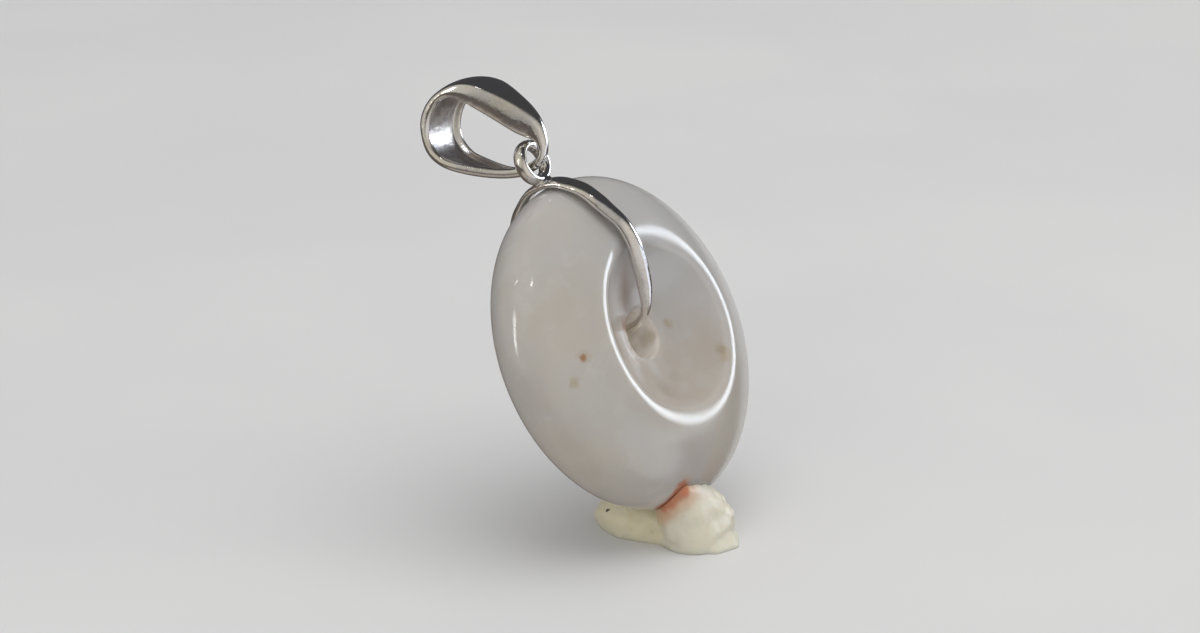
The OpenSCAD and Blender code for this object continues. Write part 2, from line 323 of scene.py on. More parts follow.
def band_section(w, T, crown, rc):
    """Closed outline (b, h) of the band: inner face near h = 0 with a channel between two
    rims, outer face crowned to h = T, sides a little convex."""
    bulge = min(0.13, 0.14 * w)
    wide = min(1.0, max(0.0, (w - 0.55) / 0.8))
    deep = min(0.46, 0.56 * T) * wide * wide * (3 - 2 * wide)
    e = w - bulge
    rc = min(rc, 0.40 * (T - crown), 0.8 * e)

    def outer(b):
        return T - crown * (b / w) ** 2

    ho, hi = outer(e), 0.0

    def side(t):
        return (w - bulge * (2 * t - 1) ** 2, ho + (hi - ho) * t)

    t1 = rc / (ho - hi)
    pts = [(b, outer(b)) for b in np.linspace(-(e - rc), e - rc, 25)]
    pts += bezier(pts[-1], (e, ho), side(t1), 6)
    pts += [side(t) for t in np.linspace(t1, 1 - t1, 11)[1:]]
    pts += bezier(side(1 - t1), (e, hi), (e - rc, 0.0), 6)
    right = pts[25:]
    b0 = e - rc
    b1 = b0 - min(0.05, 0.2 * b0)
    b2 = b1 - min(0.26, 0.4 * b0)
    wall = [(b1 + (b2 - b1) * t, deep * t * t * (3 - 2 * t)) for t in np.linspace(0, 1, 9)]
    pts += wall
    pts += [(b, deep + 0.05 * wide * (1 - (b / b2) ** 2)) for b in np.linspace(b2, -b2, 13)[1:-1]]
    pts += [(-b, h) for b, h in wall[::-1]]
    pts += [(-b, h) for b, h in right[::-1]]
    return pts


CHANNEL = (54, 68)                                   # the channel's share of the outline's steps


def make_bail():
    S = periodic(BAIL, 340, smooth=3.0)
    g = None
    for i, (yo, zo, yi, zi, w, crown, rc) in enumerate(S):
        o, q = np.array([yo, zo]), np.array([yi, zi])
        T = np.linalg.norm(o - q)
        d = (o - q) / T
        sec = band_section(w, T, crown, rc)
        if g is None:
            g = np.zeros((len(S), len(sec), 3))
        for j, (b, h) in enumerate(sec):
            yz = q + d * h
            g[i, j] = PIN + yz[0] * BL + yz[1] * BN + (b + BAIL_SHIFT) * BB
    ob = grid_mesh("bail_loop", g)
    # the channel inside takes the second, less polished silver
    inner = [(1 if CHANNEL[0] <= k % len(sec) < CHANNEL[1] else 0) for k in range(len(ob.data.polygons))]
    return ob, inner


# ---------------------------------------------------------------- putty
# the fold between the lobes and a wrinkle in the rear one
FOLD = [
    [-2.70, -1.40, 2.70], [-2.50, -1.50, 2.14], [-2.70, -1.82, 1.72], [-2.92, -2.33, 0.95], [-3.25, -3.03, 0.60],
    [-3.42, -3.67, 0.40],
]
WRINKLE = [[-3.00, -0.60, 1.60], [-3.05, -0.10, 0.90], [-3.05, 0.50, 0.60]]
LOBE_FRONT = [
    [-1.40, -3.85, 0.60, 2.05], [0.42, -3.90, 1.15, 2.00], [0.55, -3.50, 2.20, 1.35],
    [-0.90, -2.60, 0.60, 2.00], [2.00, -1.00, 1.00, 1.90], [-0.20, -3.90, 3.55, 0.64],
    [-2.70, -2.90, 3.80, 1.12], [-2.70, -3.95, 4.35, 0.58],
]
LOBE_TOE = [
    [1.10, -5.50, 0.00, 0.54], [-0.10, -6.15, 0.00, 0.62], [-1.65, -5.75, 0.00, 0.60],
    [0.30, -4.20, 0.55, 1.30],
]
LOBE_REAR = [
    [-1.50, 0.90, 0.60, 1.95], [-1.40, 2.50, 0.50, 1.30], [-1.05, 3.75, 0.50, 0.75],
    [-1.10, -1.60, 0.80, 1.90], [2.20, 3.60, 1.20, 1.60], [2.20, 0.00, 1.20, 2.00],
]


def polyline(pts, n=24):
    """n places on each stretch of the line through pts."""
    pts = np.array(pts)
    return np.vstack([a + (b - a) * np.linspace(0, 1, n)[:, None] for a, b in zip(pts[:-1], pts[1:])])


CREASE = polyline(FOLD)
CREASE_2 = polyline(WRINKLE)


def hull_of_balls(name, rows):
    bm = bmesh.new()
    for x, y, z, r in rows:
        bmesh.ops.create_icosphere(bm, subdivisions=4, radius=r, matrix=Matrix.Translation((x, y, z)))
    res = bmesh.ops.convex_hull(bm, input=bm.verts)
    bmesh.ops.delete(bm, geom=[e for e in res["geom_interior"] if isinstance(e, bmesh.types.BMVert)], context="VERTS")
    vs = [v for v in bm.verts if v.link_faces]
    idx = {v: i for i, v in enumerate(vs)}
    verts = [tuple(v.co) for v in vs]
    faces = [[idx[v] for v in f.verts] for f in bm.faces]
    bm.free()
    return solid(name, verts, faces)


def make_putty():
    ob = hull_of_balls("putty_lump", LOBE_FRONT)
    for k, rows in enumerate((LOBE_TOE, LOBE_REAR)):
        boolean(ob, hull_of_balls("lobe_%d" % k, rows), "UNION")
    m = ob.modifiers.new("remesh", "REMESH")
    m.mode, m.voxel_size = "VOXEL", 0.085 * MM
    apply(ob)
    m = ob.modifiers.new("soften", "SMOOTH")
    m.factor, m.iterations = 0.5, 36
    apply(ob)
    me = ob.data
    co = np.zeros(len(me.vertices) * 3)
    me.vertices.foreach_get("co", co)
    co = co.reshape(-1, 3) / MM
    nn = np.array([v.normal for v in me.vertices])
    out = co.copy()
    for i, (p, n) in enumerate(zip(co, nn)):
        q = Vector(p)
        d = 0.12 * noise.noise(q * 0.55 + Vector((3.1, 0, 0))) + 0.10 * noise.noise(q * 1.2)
        d += 0.012 * noise.noise(q * 4.0 + Vector((0, 7.7, 0)))
        # torn and pinched where it was pulled off, at the far end of the front lobe
        torn = min(1.0, max(0.0, (p[0] + 0.35 * p[2] - 0.6) / 1.6)) * min(1.0, max(0.0, (-2.0 - p[1]) / 1.0))
        d += torn * (0.16 * noise.noise(q * 1.9 + Vector((5.5, 1.0, 2.0))) + 0.05 * noise.noise(q * 3.6))
        # the fold where the front lobe was pressed over the rear one
        f = np.linalg.norm(CREASE - p, axis=1).min()
        d -= 0.17 * math.exp(-(f / 0.26) ** 2)
        f = np.linalg.norm(CREASE_2 - p, axis=1).min()
        d -= 0.07 * math.exp(-(f / 0.16) ** 2)
        k = min(1.0, max(0.0, p[2] / 0.8)) * 0.8 + 0.2
        out[i] = p + n * (d - 0.02) * k
    me.vertices.foreach_set("co", (out * MM).ravel())
    me.update()
    # flat where it is pressed on the table
    bm = bmesh.new()
    bm.from_mesh(me)
    res = bmesh.ops.bisect_plane(bm, geom=bm.verts[:] + bm.edges[:] + bm.faces[:], plane_co=(0, 0, 0.004 * MM),
                                 plane_no=(0, 0, -1), clear_outer=True)
    edges = [e for e in res["geom_cut"] if isinstance(e, bmesh.types.BMEdge)]
    bmesh.ops.holes_fill(bm, edges=edges, sides=0)
    bmesh.ops.recalc_face_normals(bm, faces=bm.faces)
    bm.to_mesh(me)
    bm.free()
    # the seat pressed in by the stone
    n, nu = 48, 120
    a = np.radians(np.linspace(-90, 90, 2 * n + 1))
    gap = 0.035
    prof = np.stack([(R + gap) * np.abs(np.cos(a)) ** (2 / N_DOME), (H + gap) * signed_pow(np.sin(a), 2 / N_DOME)], 1)
    v = [C - (H + gap) * A]
    for r, z in prof[1:-1]:
        for i in range(nu):
            th = 2 * math.pi * i / nu
            v.append(C + r * (math.cos(th) * X + math.sin(th) * V) + z * A)
    v.append(C + (H + gap) * A)
    k = len(prof) - 2
    f = [(0, 1 + (i + 1) % nu, 1 + i) for i in range(nu)]
    for j in range(k - 1):
        for i in range(nu):
            b = (i + 1) % nu
            f.append((1 + j * nu + i, 1 + j * nu + b, 1 + (j + 1) * nu + b, 1 + (j + 1) * nu + i))
    f += [(len(v) - 1, 1 + (k - 1) * nu + i, 1 + (k - 1) * nu + (i + 1) % nu) for i in range(nu)]
    boolean(ob, solid("press", v, f), "DIFFERENCE")
    ob.data.polygons.foreach_set("use_smooth", [True] * len(ob.data.polygons))
    return ob


# ---------------------------------------------------------------- material helpers
class Mat:
    def __init__(self, name):
        self.m = bpy.data.materials.new(name)
        self.m.use_nodes = True
        self.t = self.m.node_tree
        self.b = self.t.nodes["Principled BSDF"]
        self.pos = self.n("ShaderNodeTexCoord").outputs["Object"]

    def n(self, kind, **kw):
        x = self.t.nodes.new(kind)
        for k, v in kw.items():
            setattr(x, k, v)
        return x

    def put(self, socket, value):
        if hasattr(value, "links"):
            self.t.links.new(value, socket)
        else:
            socket.default_value = value

    def math(self, op, a, b=0.0, c=0.0, clamp=False):
        x = self.n("ShaderNodeMath", operation=op, use_clamp=clamp)
        for s, v in zip(x.inputs, (a, b, c)):
            self.put(s, v)
        return x.outputs[0]

    def vec(self, op, a, b=(0, 0, 0), scale=None):
        x = self.n("ShaderNodeVectorMath", operation=op)
        self.put(x.inputs[0], a)
        if scale is None:
            self.put(x.inputs[1], b)
        else:
            self.put(x.inputs["Scale"], scale)
        return x.outputs["Value"] if op in ("DISTANCE", "LENGTH", "DOT_PRODUCT") else x.outputs["Vector"]

    def noise(self, scale, detail=3.0, rough=0.5, at=None, offset=(0, 0, 0), distortion=0.0):
        """Noise with features of 1/scale mm."""
        p = self.vec("SCALE", at if at is not None else self.pos, scale=1000.0 * scale)
        p = self.vec("ADD", p, offset)
        x = self.n("ShaderNodeTexNoise")
        self.put(x.inputs["Vector"], p)
        x.inputs["Scale"].default_value = 1.0
        x.inputs["Detail"].default_value = detail
        x.inputs["Roughness"].default_value = rough
        x.inputs["Distortion"].default_value = distortion
        return x.outputs["Fac"]

    def ramp(self, fac, lo, hi, a=0.0, b=1.0):
        x = self.n("ShaderNodeMapRange", interpolation_type="SMOOTHSTEP")
        self.put(x.inputs["Value"], fac)
        x.inputs["From Min"].default_value = lo
        x.inputs["From Max"].default_value = hi
        x.inputs["To Min"].default_value = a
        x.inputs["To Max"].default_value = b
        return x.outputs["Result"]

    def mix(self, fac, a, b, blend="MIX"):
        x = self.n("ShaderNodeMix", data_type="RGBA", blend_type=blend)
        self.put(x.inputs[0], fac)
        self.put(x.inputs[6], a if hasattr(a, "links") else (*a, 1.0))
        self.put(x.inputs[7], b if hasattr(b, "links") else (*b, 1.0))
        return x.outputs[2]

    def bump(self, height, strength, mm):
        x = self.n("ShaderNodeBump")
        x.inputs["Strength"].default_value = strength
        x.inputs["Distance"].default_value = mm * MM
        self.put(x.inputs["Height"], height)
        return x.outputs["Normal"]

    def noise_rgb(self, scale, offset=(0, 0, 0)):
        p = self.vec("ADD", self.vec("SCALE", self.pos, scale=1000.0 * scale), offset)
        x = self.n("ShaderNodeTexNoise")
        self.put(x.inputs["Vector"], p)
        x.inputs["Scale"].default_value = 1.0
        x.inputs["Detail"].default_value = 2.0
        return x.outputs["Color"]

    def near_line(self, p, q, r0, r1, at):
        """1 within r0 mm of the stretch from p to q, falling to 0 at r1 mm."""
        d = q - p
        rel = self.vec("SUBTRACT", at, tuple(p * MM))
        t = self.math("DIVIDE", self.vec("DOT_PRODUCT", rel, tuple(d)), float(d @ d) * MM, clamp=True)
        foot = self.vec("SCALE", tuple(d * MM), scale=t)
        return self.ramp(self.vec("DISTANCE", rel, foot), r0 * MM, r1 * MM, 1.0, 0.0)

    def near(self, point, r0, r1, wobble=None):
        """1 within r0 mm of a point, falling to 0 at r1 mm."""
        d = self.vec("DISTANCE", self.pos if wobble is None else wobble, tuple(point * MM))
        return self.ramp(d, r0 * MM, r1 * MM, 1.0, 0.0)


def jade():
    m = Mat("jade_icy_white")
    wob = m.vec("ADD", m.pos, m.vec("SCALE", m.vec("SUBTRACT", m.noise_rgb(0.9), (0.5, 0.5, 0.5)), scale=0.0012))
    fine_wob = m.vec("ADD", m.pos, m.vec("SCALE", m.vec("SUBTRACT", m.noise_rgb(3.0), (0.5, 0.5, 0.5)), scale=0.00035))
    rel = m.vec("SUBTRACT", m.pos, tuple(C * MM))
    along = m.vec("DOT_PRODUCT", rel, tuple(A))
    up = m.vec("DOT_PRODUCT", rel, tuple(V))
    across = m.vec("DOT_PRODUCT", rel, tuple(X))
    rad = m.math("SQRT", m.math("ADD", m.math("MULTIPLY", up, up), m.math("MULTIPLY", across, across)))

    # milky ground: slow clouds from warm to cool grey, plus a painted cool cast of light toward the upper right, where
    # the bluish window falls
    cloud = m.noise(0.13, 2.5, 0.5, at=wob, offset=(1.7, 4.1, 9.3))
    side = m.ramp(m.math("ADD", m.math("MULTIPLY", across, 0.8), m.math("MULTIPLY", up, 0.6)), -6 * MM, 9 * MM)
    clouds_and_cool_light = m.math("ADD", m.math("MULTIPLY", side, 0.7), m.math("MULTIPLY", m.ramp(cloud, 0.36, 0.66), 0.45), clamp=True)
    col = m.mix(clouds_and_cool_light, (0.530, 0.492, 0.440), (0.505, 0.500, 0.500))
    wisps = m.noise(0.42, 4.0, 0.55, at=wob, offset=(8.0, 2.0, 5.0), distortion=0.5)
    col = m.mix(m.math("MULTIPLY", m.ramp(wisps, 0.52, 0.74), 0.25), col, (0.64, 0.62, 0.595))
    olive = m.noise(0.30, 3.0, 0.5, at=wob, offset=(2.2, 7.7, 0.4))
    col = m.mix(m.math("MULTIPLY", m.ramp(olive, 0.54, 0.76), 0.25), col, (0.45, 0.42, 0.345))
    lilac = m.noise(0.38, 3.0, 0.5, at=wob, offset=(6.1, 3.3, 8.8))
    col = m.mix(m.math("MULTIPLY", m.ramp(lilac, 0.54, 0.76), 0.30), col, (0.53, 0.465, 0.485))
    grain = m.noise(2.4, 4.0, 0.6, offset=(0.3, 0.9, 2.2))
    col = m.mix(m.math("MULTIPLY", m.ramp(grain, 0.48, 0.78), 0.10), col, (0.42, 0.385, 0.34))

    # fine healed cracks, a shade lighter than the ground
    crack = m.n("ShaderNodeTexVoronoi", feature="DISTANCE_TO_EDGE")
    m.put(crack.inputs["Vector"], m.vec("SCALE", wob, scale=260.0))
    crack.inputs["Scale"].default_value = 1.0
    line = m.math("MULTIPLY", m.ramp(crack.outputs["Distance"], 0.0, 0.035, 1.0, 0.0),
                  m.ramp(m.noise(0.25, 2.0, 0.5, offset=(9, 9, 1)), 0.50, 0.64, 0.0, 0.07))
    col = m.mix(line, col, (0.64, 0.62, 0.60))

    # the dish is a little warmer low down
    dish = m.ramp(rad, 6.6 * MM, 5.2 * MM)
    col = m.mix(m.math("MULTIPLY", dish, 0.30), col, (0.60, 0.58, 0.56))
    low = m.math("MULTIPLY", dish, m.ramp(up, 3.5 * MM, -2.5 * MM))
    low = m.math("MULTIPLY", low, m.ramp(m.noise(0.55, 3.0, 0.55, offset=(4, 6, 1)), 0.35, 0.60, 0.45, 1.0))
    col = m.mix(m.math("MULTIPLY", low, 0.50), col, (0.49, 0.415, 0.345))
    # painted reflection of the strap: a pinkish tint in the dish beside it
    strap_reflection_pink = m.math("MULTIPLY", m.near(np.array([-1.2, 2.2, 17.4]), 0.6, 3.0, wobble=wob), dish)
    col = m.mix(m.math("MULTIPLY", strap_reflection_pink, 0.45), col, (0.60, 0.50, 0.465))
    # painted shade, reddish brown, between the claw and the near side of the hole
    claw_shade_red = m.math("MULTIPLY", m.near(np.array([-1.5, 1.9, 14.2]), 0.3, 1.9, wobble=wob), dish)
    col = m.mix(m.math("MULTIPLY", claw_shade_red, 0.55), col, (0.47, 0.335, 0.275))
    # the wall of the hole, mottled olive brown, and painted much lighter than the stone to cancel the shade inside the
    # hole
    hole = m.ramp(rad, 1.64 * MM, 1.90 * MM, 1.0, 0.0)
    painted_light_hole_wall = m.mix(m.ramp(m.noise(1.0, 3.0), 0.35, 0.65), (0.88, 0.845, 0.80), (0.81, 0.755, 0.68))
    col = m.mix(hole, col, painted_light_hole_wall)

    for p, r0, r1, strength, tint, soft in MARKS:
        f = m.math("MULTIPLY", m.near(np.array(p), r0, r1, wobble=wob if soft else fine_wob), strength)
        col = m.mix(f, col, tint)
    # streaks of stain, and one of painted shade under the claw
    for p, q, r0, r1, strength, tint in STREAKS:
        f = m.math("MULTIPLY", m.near_line(np.array(p), np.array(q), r0, r1, fine_wob), strength)
        f = m.math("MULTIPLY", f, m.ramp(m.noise(1.6, 3.0, 0.6, offset=(1, 8, 3)), 0.25, 0.60, 0.55, 1.0))
        col = m.mix(f, col, tint)
    # painted highlight: a pale pinkish line that follows the near side of the hole
    f = m.math("MULTIPLY", m.ramp(m.math("ABSOLUTE", m.math("SUBTRACT", rad, 2.95 * MM)), 0.03 * MM, 0.20 * MM, 1.0, 0.0),
               m.ramp(across, -2.2 * MM, -2.7 * MM))
    f = m.math("MULTIPLY", f, m.ramp(along, 1.5 * MM, 2.0 * MM))
    col = m.mix(m.math("MULTIPLY", f, 0.55), col, (0.74, 0.66, 0.65))

    m.put(m.b.inputs["Base Color"], col)
    m.b.subsurface_method = "RANDOM_WALK"
    m.b.inputs["Subsurface Weight"].default_value = 1.0
    m.b.inputs["Subsurface Radius"].default_value = (1.0, 0.93, 0.85)
    m.b.inputs["Subsurface Scale"].default_value = 2.8 * MM
    m.b.inputs["IOR"].default_value = 1.66
    rough = m.ramp(m.noise(1.2, 2.0), 0.3, 0.8, 0.09, 0.14)
    # the ridge is less crisply polished at the bottom and at the upper right
    near_ridge = m.math("MULTIPLY", m.ramp(rad, 4.9 * MM, 5.8 * MM), m.ramp(rad, 7.6 * MM, 8.8 * MM, 1.0, 0.0))
    for turn, lo in ((258, 0.80), (62, 0.86)):
        a = math.radians(turn)
        d = m.math("ADD", m.math("MULTIPLY", across, math.cos(a)), m.math("MULTIPLY", up, math.sin(a)))
        f = m.math("MULTIPLY", m.ramp(m.math("DIVIDE", d, rad), lo, 0.985), near_ridge)
        rough = m.math("ADD", rough, m.math("MULTIPLY", f, 0.125))
    rough = m.math("ADD", rough, m.ramp(rad, 1.8 * MM, 2.9 * MM, 0.12, 0.0))
    m.put(m.b.inputs["Roughness"], rough)
    soft = m.noise(0.5, 2.0, 0.5, offset=(3, 3, 3))
    m.put(m.b.inputs["Normal"], m.bump(soft, 0.12, 0.02))
    return m.m


def silver(name, seed, dull=0.0):
    m = Mat(name)
    o = (seed * 3.7, seed * 1.9, seed * 5.3)
    haze = m.noise(0.7, 3.0, 0.6, offset=o)
    fine = m.noise(6.0, 2.0, 0.5, offset=(2 + seed, 5, 1))
    warm = m.noise(0.35, 2.0, 0.5, offset=(7 + seed, 2, 2))
    tone = m.mix(m.ramp(warm, 0.40, 0.62), (0.80, 0.775, 0.73), (0.78, 0.765, 0.775))
    tone = m.mix(m.math("MULTIPLY", m.ramp(haze, 0.50, 0.74), 0.45), tone, (0.62, 0.57, 0.52))
    spots = m.noise(2.2, 3.0, 0.6, offset=(9, 1 + seed, 4))
    tone = m.mix(m.math("MULTIPLY", m.ramp(spots, 0.62, 0.80), 0.6), tone, (0.36, 0.29, 0.25))
    if dull:
        tone = m.mix(m.math("MULTIPLY", m.ramp(m.noise(1.1, 3.0, 0.6, offset=(6, 2, 9)), 0.40, 0.60), 0.7), tone, (0.47, 0.42, 0.43))
    m.put(m.b.inputs["Base Color"], tone)
    m.b.inputs["Metallic"].default_value = 1.0
    m.put(m.b.inputs["Roughness"], m.math("ADD", m.ramp(fine, 0.3, 0.8, 0.08 + dull, 0.15 + dull), m.ramp(haze, 0.45, 0.8, 0.0, 0.10)))
    h = m.math("ADD", m.noise(1.3, 3.0, 0.55, offset=(4, 4, seed)), m.math("MULTIPLY", fine, 0.06))
    m.put(m.b.inputs["Normal"], m.bump(h, 0.55, 0.05 + dull * 0.3))
    return m.m


def putty_mat():
    m = Mat("putty_cream")
    a = m.noise(0.35, 3.0, 0.55)
    b = m.noise(1.6, 4.0, 0.6, offset=(4, 1, 8))
    wob = m.vec("ADD", m.pos, m.vec("SCALE", m.vec("SUBTRACT", m.noise_rgb(1.4), (0.5, 0.5, 0.5)), scale=0.0006))
    sep = m.n("ShaderNodeSeparateXYZ")
    m.put(sep.inputs[0], wob)
    # the front lobe is whiter than the rear one; the rear one is painted yellower and lighter, painted light against
    # the shade it lies in under the stone
    front = m.ramp(sep.outputs["Y"], -2.9 * MM, -2.0 * MM, 1.0, 0.0)
    col = m.mix(front, (0.84, 0.765, 0.55), (0.755, 0.715, 0.585))
    col = m.mix(m.math("MULTIPLY", m.ramp(a, 0.40, 0.70), 0.45), col, (0.70, 0.67, 0.57))
    col = m.mix(m.math("MULTIPLY", m.ramp(b, 0.54, 0.78), 0.30), col, (0.54, 0.47, 0.33))
    for p, r0, r1, strength, tint in PUTTY_MARKS:
        col = m.mix(m.math("MULTIPLY", m.near(np.array(p), r0, r1, wobble=wob), strength), col, tint)
    for p, q, r0, r1, strength, tint in PUTTY_STREAKS:
        f = m.math("MULTIPLY", m.near_line(np.array(p), np.array(q), r0, r1, wob), strength)
        col = m.mix(f, col, tint)
    m.put(m.b.inputs["Base Color"], col)
    m.b.inputs["Subsurface Weight"].default_value = 0.6
    m.b.inputs["Subsurface Radius"].default_value = (1.0, 0.8, 0.55)
    m.b.inputs["Subsurface Scale"].default_value = 0.9 * MM
    m.put(m.b.inputs["Roughness"], m.ramp(b, 0.3, 0.8, 0.38, 0.55))
    h = m.math("ADD", m.math("MULTIPLY", b, 0.5), m.math("MULTIPLY", m.noise(5.0, 3.0, 0.6), 0.2))
    m.put(m.b.inputs["Normal"], m.bump(h, 0.35, 0.08))
    return m.m


def floor_mat():
    m = Mat("floor_pale")
    n1 = m.noise(0.02, 3.0, 0.5)
    col = m.mix(m.ramp(n1, 0.35, 0.7), (0.70, 0.70, 0.705), (0.73, 0.73, 0.73))
    m.put(m.b.inputs["Base Color"], col)
    m.b.inputs["Roughness"].default_value = 0.45
    m.b.inputs["Specular IOR Level"].default_value = 0.06
    return m.m


# ---------------------------------------------------------------- marks, mm
# [place], full radius, fading radius, strength, colour, cloudy edge
MARKS = [
    ([-9.36, 0.15, 15.23], 0.10, 0.36, 0.95, (0.30, 0.12, 0.035), False),
    ([-9.36, 0.15, 15.23], 0.25, 0.70, 0.35, (0.46, 0.33, 0.20), True),
    ([-10.31, 0.08, 13.80], 0.10, 0.55, 0.60, (0.40, 0.32, 0.20), True),
    ([-11.01, 0.05, 9.95], 0.3, 2.0, 0.16, (0.42, 0.36, 0.28), True),
    ([-9.92, -0.51, 7.47], 0.2, 1.5, 0.18, (0.42, 0.34, 0.26), True),
    ([2.64, 0.90, 14.20], 0.08, 0.60, 0.50, (0.40, 0.31, 0.18), True),
    ([1.62, 2.00, 13.25], 0.20, 0.90, 0.30, (0.44, 0.36, 0.24), True),
    ([0.56, -0.99, 11.31], 0.2, 0.9, 0.30, (0.44, 0.36, 0.27), True),
    ([-1.5, -1.6, 10.9], 0.2, 1.2, 0.30, (0.38, 0.31, 0.23), True),
    ([4.99, -1.87, 12.17], 0.1, 0.7, 0.55, (0.38, 0.29, 0.16), True),
    ([4.86, -2.26, 11.75], 0.1, 0.6, 0.40, (0.46, 0.34, 0.22), True),
    ([0.24, -4.29, 5.07], 0.3, 1.7, 0.30, (0.54, 0.40, 0.31), True),
    ([4.70, -3.58, 5.17], 0.3, 1.6, 0.20, (0.52, 0.40, 0.32), True),
    ([-2.12, -4.31, 6.77], 0.4, 2.2, 0.35, (0.50, 0.43, 0.42), True),
    ([-0.90, 2.19, 17.00], 0.3, 1.6, 0.40, (0.42, 0.34, 0.29), True),
]
# [from], [to], full radius, fading radius, strength, colour
STREAKS = [
    ([-3.55, -2.75, 3.45], [-3.10, -3.92, 4.75], 0.32, 0.85, 1.0, (0.42, 0.055, 0.018)),
    ([-3.35, -2.20, 3.00], [-2.90, -4.00, 4.85], 0.40, 1.15, 0.45, (0.56, 0.34, 0.21)),
    # painted shade: a dark reddish-brown line under the claw's tip, down the near side of the hole
    ([-1.25, 3.20, 14.20], [-1.90, 1.60, 15.10], 0.15, 0.60, 0.60, (0.40, 0.20, 0.14)),
]
# [place], full radius, fading radius, strength, colour
PUTTY_MARKS = [
    ([-2.52, 2.40, 1.54], 0.12, 0.22, 0.95, (0.035, 0.028, 0.015)),
    ([-3.30, -2.30, 2.60], 0.4, 1.3, 0.60, (0.62, 0.40, 0.24)),
    ([-3.10, -3.20, 3.30], 0.4, 1.4, 0.45, (0.62, 0.44, 0.30)),
    ([-2.00, -4.30, 4.30], 0.4, 1.3, 0.35, (0.68, 0.50, 0.42)),
    ([-2.20, -1.20, 0.90], 0.3, 1.2, 0.35, (0.50, 0.42, 0.28)),
]
PUTTY_STREAKS = [
    ([-3.75, -2.85, 3.55], [-3.20, -4.10, 4.75], 0.36, 0.85, 1.0, (0.46, 0.065, 0.02)),
    ([-3.60, -2.60, 3.20], [-2.90, -4.20, 4.60], 0.55, 1.50, 0.55, (0.64, 0.37, 0.22)),
]
# ---------------------------------------------------------------- build
stone = make_stone()
strap = make_strap()
boolean(strap, make_ring(), "UNION")
boolean(strap, make_solder(), "UNION")
strap.name = "silver_strap_and_ring"
bail, bail_inner = make_bail()
bail.name = "silver_bail"
putty = make_putty()

for ob, mat, body, node, slot in (
    (stone, jade(), "pendant", "jade_disc", "jade"),
    (strap, silver("silver_of_strap", 0), "pendant", "mount_strap", "silver"),
    (bail, silver("silver_of_bail", 1), "bail", "bail", "silver"),
    (putty, putty_mat(), "pendant", "putty_foot", "putty"),
):
    ob.data.materials.clear()
    ob.data.materials.append(mat)
    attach(ob, body)
    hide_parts(node)
bail.data.materials.append(silver("silver_inside_bail", 2, 0.24))
bail.data.polygons.foreach_set("material_index", bail_inner)

# ---------------------------------------------------------------- stage
bm = bmesh.new()
bmesh.ops.create_circle(bm, cap_ends=True, radius=3.0, segments=96)
me = bpy.data.meshes.new("floor")
bm.to_mesh(me)
bm.free()
floor = bpy.data.objects.new("floor", me)
bpy.context.scene.collection.objects.link(floor)
me.materials.append(floor_mat())
floor.visible_glossy = False                         # the silver mirrors the dark room below too


def area(name, at, aim, size, power, colour=(1, 1, 1), shape="RECTANGLE"):
    l = bpy.data.lights.new(name, "AREA")
    l.shape = shape
    l.size, l.size_y = size
    l.energy = power
    l.color = colour
    o = bpy.data.objects.new(name, l)
    bpy.context.scene.collection.objects.link(o)
    o.location = at
    o.rotation_mode = "QUATERNION"
    o.rotation_quaternion = (Vector(aim) - Vector(at)).to_track_quat("-Z", "Y")
    return o


T = (0.0, 0.0, 0.014)


def towards(az, el, dist):
    """A place seen from the object at azimuth az (0 = front, 90 = +X) and elevation el."""
    a, e = math.radians(az), math.radians(el)
    return (T[0] + dist * math.sin(a) * math.cos(e), T[1] - dist * math.cos(a) * math.cos(e), T[2] + dist * math.sin(e))


def softbox(name, az, el, dist, wide, high, radiance, colour=(1, 1, 1), glossy=True, diffuse=True, feather=0.0):
    """An area light wide x high degrees across; radiance 1 looks like white paper in full light."""
    w, h = 2 * dist * math.tan(math.radians(wide / 2)), 2 * dist * math.tan(math.radians(high / 2))
    o = area(name, towards(az, el, dist), T, (w, h), radiance * w * h * math.pi, colour)
    o.visible_glossy = glossy
    o.visible_diffuse = diffuse
    o.visible_camera = False
    if feather:
        # the box fades out toward its edges, as cloth in front of a lamp does
        o.data.use_nodes = True
        t = o.data.node_tree
        emit = t.nodes["Emission"]
        uv = t.nodes.new("ShaderNodeSeparateXYZ")
        t.links.new(t.nodes.new("ShaderNodeNewGeometry").outputs["Parametric"], uv.inputs[0])
        last = None
        for k in ("X", "Y"):
            for lo, hi in ((0.0, feather), (1.0, 1.0 - feather)):
                r = t.nodes.new("ShaderNodeMapRange")
                r.interpolation_type = "SMOOTHSTEP"
                t.links.new(uv.outputs[k], r.inputs["Value"])
                r.inputs["From Min"].default_value = lo
                r.inputs["From Max"].default_value = hi
                if last is None:
                    last = r.outputs["Result"]
                else:
                    x = t.nodes.new("ShaderNodeMath")
                    x.operation = "MULTIPLY"
                    t.links.new(last, x.inputs[0])
                    t.links.new(r.outputs["Result"], x.inputs[1])
                    last = x.outputs[0]
        t.links.new(last, emit.inputs["Strength"])
    return o


# broad light for the body of the stone and the floor, not seen in the gloss
softbox("key_above", 10, 76, 0.60, 60, 60, 1.30, (1.0, 0.99, 0.97), glossy=False)
softbox("key_left", -75, 30, 0.60, 55, 40, 0.45, (1.0, 0.98, 0.95), glossy=False)
softbox("rim_right", 105, 18, 0.60, 40, 36, 0.70, (1.0, 0.97, 0.94), glossy=False)
# what the polished surfaces mirror
softbox("window_right", 57, 13, 0.45, 52, 36, 6.0, (0.90, 0.98, 1.08), diffuse=False, feather=0.44)
softbox("strip_left", -126, 15, 0.70, 9, 34, 6.5, diffuse=False, feather=0.30)
softbox("spot_a", -138, 45, 0.70, 3.8, 3.8, 12.0, diffuse=False, feather=0.3)
softbox("spot_b", -85, 66, 0.70, 4.2, 4.2, 14.0, diffuse=False, feather=0.3)

